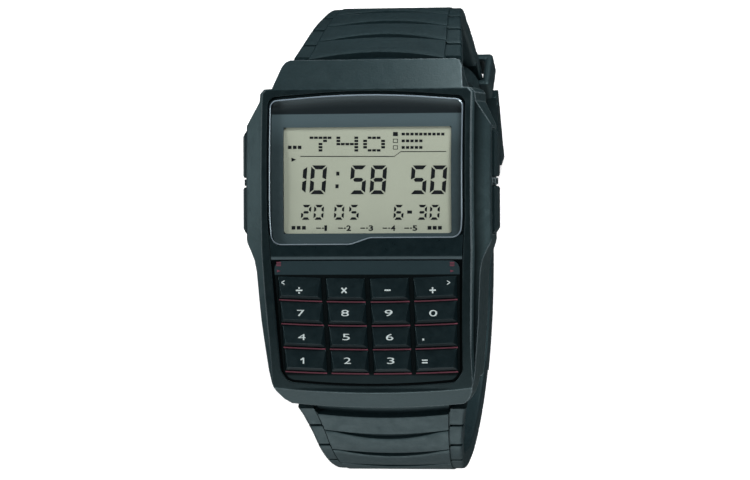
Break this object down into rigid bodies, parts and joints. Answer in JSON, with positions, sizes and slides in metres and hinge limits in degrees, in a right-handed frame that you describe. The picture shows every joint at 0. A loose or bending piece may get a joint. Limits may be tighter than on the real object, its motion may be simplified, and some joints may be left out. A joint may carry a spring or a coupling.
{
  "type": "calculator watch",
  "caption": "Digital calculator wristwatch in dark grained resin, with an arched crystal over a display, a tilted key pad, side buttons and a buckled strap closed in a loop.",
  "frame": {"origin": "centre of the case back's outer face", "axes": "+X towards 3 o'clock, +Y towards 12 o'clock, +Z out of the dial"},
  "size_m": [0.0366, 0.0673, 0.0537],
  "materials": {
    "case_resin": "fine grained matte",
    "strap_resin": "matte, finely grained",
    "panel_resin": "satin",
    "key_resin": "satin",
    "button_resin": "satin",
    "crystal": "polished",
    "mask_print": "printed",
    "lcd": "polarised",
    "silicone": "matte",
    "steel": "brushed",
    "board": "solder mask",
    "chip": "matte",
    "module_resin": "moulded",
    "brass": "plain",
    "buckle_resin": "satin",
    "flex_film": "film"
  },
  "bodies": {
    "case": {"case_shell": "case_resin", "front_panel": "panel_resin", "crystal": "crystal", "display_mask": "mask_print", "crystal_gasket": "silicone", "keypad_membrane": "silicone", "keypad_board": "board", "keypad_flex": "flex_film", "button_gaskets": "silicone", "button_springs": "steel", "side_contacts": "steel", "case_back": "steel", "case_back_screws": "steel", "case_back_gasket": "silicone", "module_frame": "module_resin", "lcd_panel": "lcd", "backlight_panel": "module_resin", "zebra_strips": "silicone", "main_board": "board", "processor": "chip", "quartz_crystal": "steel", "battery": "steel", "battery_clip": "steel", "buzzer_disc": "brass", "buzzer_spring": "steel", "board_screws": "steel", "spring_bar_top": "steel", "spring_bar_bottom": "steel"},
    "key_divide": {"key_divide": "key_resin"},
    "key_multiply": {"key_multiply": "key_resin"},
    "key_minus": {"key_minus": "key_resin"},
    "key_plus": {"key_plus": "key_resin"},
    "key_7": {"key_7": "key_resin"},
    "key_8": {"key_8": "key_resin"},
    "key_9": {"key_9": "key_resin"},
    "key_0": {"key_0": "key_resin"},
    "key_4": {"key_4": "key_resin"},
    "key_5": {"key_5": "key_resin"},
    "key_6": {"key_6": "key_resin"},
    "key_dot": {"key_dot": "key_resin"},
    "key_1": {"key_1": "key_resin"},
    "key_2": {"key_2": "key_resin"},
    "key_3": {"key_3": "key_resin"},
    "key_equals": {"key_equals": "key_resin"},
    "button_upper_left": {"button_upper_left": "button_resin", "clip_upper_left": "steel"},
    "button_lower_left": {"button_lower_left": "button_resin", "clip_lower_left": "steel"},
    "button_upper_right": {"button_upper_right": "button_resin", "clip_upper_right": "steel"},
    "button_lower_right": {"button_lower_right": "button_resin", "clip_lower_right": "steel"},
    "strap_long": {"strap_long": "strap_resin"},
    "strap_short": {"strap_short": "strap_resin", "buckle_pin": "steel"},
    "keeper_loop": {"keeper_loop": "strap_resin"},
    "buckle_frame": {"buckle_frame": "buckle_resin"},
    "buckle_prong": {"buckle_prong": "steel"}
  },
  "joints": [
    {"name": "key_divide_press", "type": "slide", "parent": "case", "child": "key_divide", "axis": [0, 0.2147, -0.9767], "range_m": [0, 0.0004], "stiffness_N_per_m": 2500, "springref_m": -0.0001, "deforming": ["keypad_membrane"]},
    {"name": "key_multiply_press", "type": "slide", "parent": "case", "child": "key_multiply", "axis": [0, 0.2147, -0.9767], "range_m": [0, 0.0004], "stiffness_N_per_m": 2500, "springref_m": -0.0001, "deforming": ["keypad_membrane"]},
    {"name": "key_minus_press", "type": "slide", "parent": "case", "child": "key_minus", "axis": [0, 0.2147, -0.9767], "range_m": [0, 0.0004], "stiffness_N_per_m": 2500, "springref_m": -0.0001, "deforming": ["keypad_membrane"]},
    {"name": "key_plus_press", "type": "slide", "parent": "case", "child": "key_plus", "axis": [0, 0.2147, -0.9767], "range_m": [0, 0.0004], "stiffness_N_per_m": 2500, "springref_m": -0.0001, "deforming": ["keypad_membrane"]},
    {"name": "key_7_press", "type": "slide", "parent": "case", "child": "key_7", "axis": [0, 0.2147, -0.9767], "range_m": [0, 0.0004], "stiffness_N_per_m": 2500, "springref_m": -0.0001, "deforming": ["keypad_membrane"]},
    {"name": "key_8_press", "type": "slide", "parent": "case", "child": "key_8", "axis": [0, 0.2147, -0.9767], "range_m": [0, 0.0004], "stiffness_N_per_m": 2500, "springref_m": -0.0001, "deforming": ["keypad_membrane"]},
    {"name": "key_9_press", "type": "slide", "parent": "case", "child": "key_9", "axis": [0, 0.2147, -0.9767], "range_m": [0, 0.0004], "stiffness_N_per_m": 2500, "springref_m": -0.0001, "deforming": ["keypad_membrane"]},
    {"name": "key_0_press", "type": "slide", "parent": "case", "child": "key_0", "axis": [0, 0.2147, -0.9767], "range_m": [0, 0.0004], "stiffness_N_per_m": 2500, "springref_m": -0.0001, "deforming": ["keypad_membrane"]},
    {"name": "key_4_press", "type": "slide", "parent": "case", "child": "key_4", "axis": [0, 0.2147, -0.9767], "range_m": [0, 0.0004], "stiffness_N_per_m": 2500, "springref_m": -0.0001, "deforming": ["keypad_membrane"]},
    {"name": "key_5_press", "type": "slide", "parent": "case", "child": "key_5", "axis": [0, 0.2147, -0.9767], "range_m": [0, 0.0004], "stiffness_N_per_m": 2500, "springref_m": -0.0001, "deforming": ["keypad_membrane"]},
    {"name": "key_6_press", "type": "slide", "parent": "case", "child": "key_6", "axis": [0, 0.2147, -0.9767], "range_m": [0, 0.0004], "stiffness_N_per_m": 2500, "springref_m": -0.0001, "deforming": ["keypad_membrane"]},
    {"name": "key_dot_press", "type": "slide", "parent": "case", "child": "key_dot", "axis": [0, 0.2147, -0.9767], "range_m": [0, 0.0004], "stiffness_N_per_m": 2500, "springref_m": -0.0001, "deforming": ["keypad_membrane"]},
    {"name": "key_1_press", "type": "slide", "parent": "case", "child": "key_1", "axis": [0, 0.2147, -0.9767], "range_m": [0, 0.0004], "stiffness_N_per_m": 2500, "springref_m": -0.0001, "deforming": ["keypad_membrane"]},
    {"name": "key_2_press", "type": "slide", "parent": "case", "child": "key_2", "axis": [0, 0.2147, -0.9767], "range_m": [0, 0.0004], "stiffness_N_per_m": 2500, "springref_m": -0.0001, "deforming": ["keypad_membrane"]},
    {"name": "key_3_press", "type": "slide", "parent": "case", "child": "key_3", "axis": [0, 0.2147, -0.9767], "range_m": [0, 0.0004], "stiffness_N_per_m": 2500, "springref_m": -0.0001, "deforming": ["keypad_membrane"]},
    {"name": "key_equals_press", "type": "slide", "parent": "case", "child": "key_equals", "axis": [0, 0.2147, -0.9767], "range_m": [0, 0.0004], "stiffness_N_per_m": 2500, "springref_m": -0.0001, "deforming": ["keypad_membrane"]},
    {"name": "button_upper_left_press", "type": "slide", "parent": "case", "child": "button_upper_left", "axis": [1, 0, 0], "range_m": [0, 0.00065], "stiffness_N_per_m": 2500, "springref_m": -0.0002, "deforming": ["button_springs"]},
    {"name": "button_lower_left_press", "type": "slide", "parent": "case", "child": "button_lower_left", "axis": [1, 0, 0], "range_m": [0, 0.00065], "stiffness_N_per_m": 2500, "springref_m": -0.0002, "deforming": ["button_springs"]},
    {"name": "button_upper_right_press", "type": "slide", "parent": "case", "child": "button_upper_right", "axis": [-1, 0, 0], "range_m": [0, 0.00065], "stiffness_N_per_m": 2500, "springref_m": -0.0002, "deforming": ["button_springs"]},
    {"name": "button_lower_right_press", "type": "slide", "parent": "case", "child": "button_lower_right", "axis": [-1, 0, 0], "range_m": [0, 0.00065], "stiffness_N_per_m": 2500, "springref_m": -0.0002, "deforming": ["button_springs"]},
    {"name": "strap_long_hinge", "type": "hinge", "parent": "case", "child": "strap_long", "pos_m": [0, -0.0226, 0.0012], "axis": [-1, 0, 0], "range_deg": [0, 30]},
    {"name": "strap_short_hinge", "type": "hinge", "parent": "case", "child": "strap_short", "pos_m": [0, 0.0226, 0.0039], "axis": [1, 0, 0], "range_deg": [0, 42]},
    {"name": "buckle_frame_hinge", "type": "hinge", "parent": "strap_short", "child": "buckle_frame", "pos_m": [0, 0.01943, -0.03583], "axis": [1, 0, 0], "range_deg": [0, 70]},
    {"name": "buckle_prong_hinge", "type": "hinge", "parent": "buckle_frame", "child": "buckle_prong", "pos_m": [0, 0.01943, -0.03583], "axis": [1, 0, 0], "range_deg": [0, 45]},
    {"name": "keeper_slide", "type": "slide", "parent": "strap_short", "child": "keeper_loop", "axis": [0, 0.616, 0.7878], "range_m": [0, 0.0025]}
  ],
  "couplings": [
    {"joint": "strap_short_hinge", "follows": "strap_long_hinge", "ratio": 1.4}
  ]
}
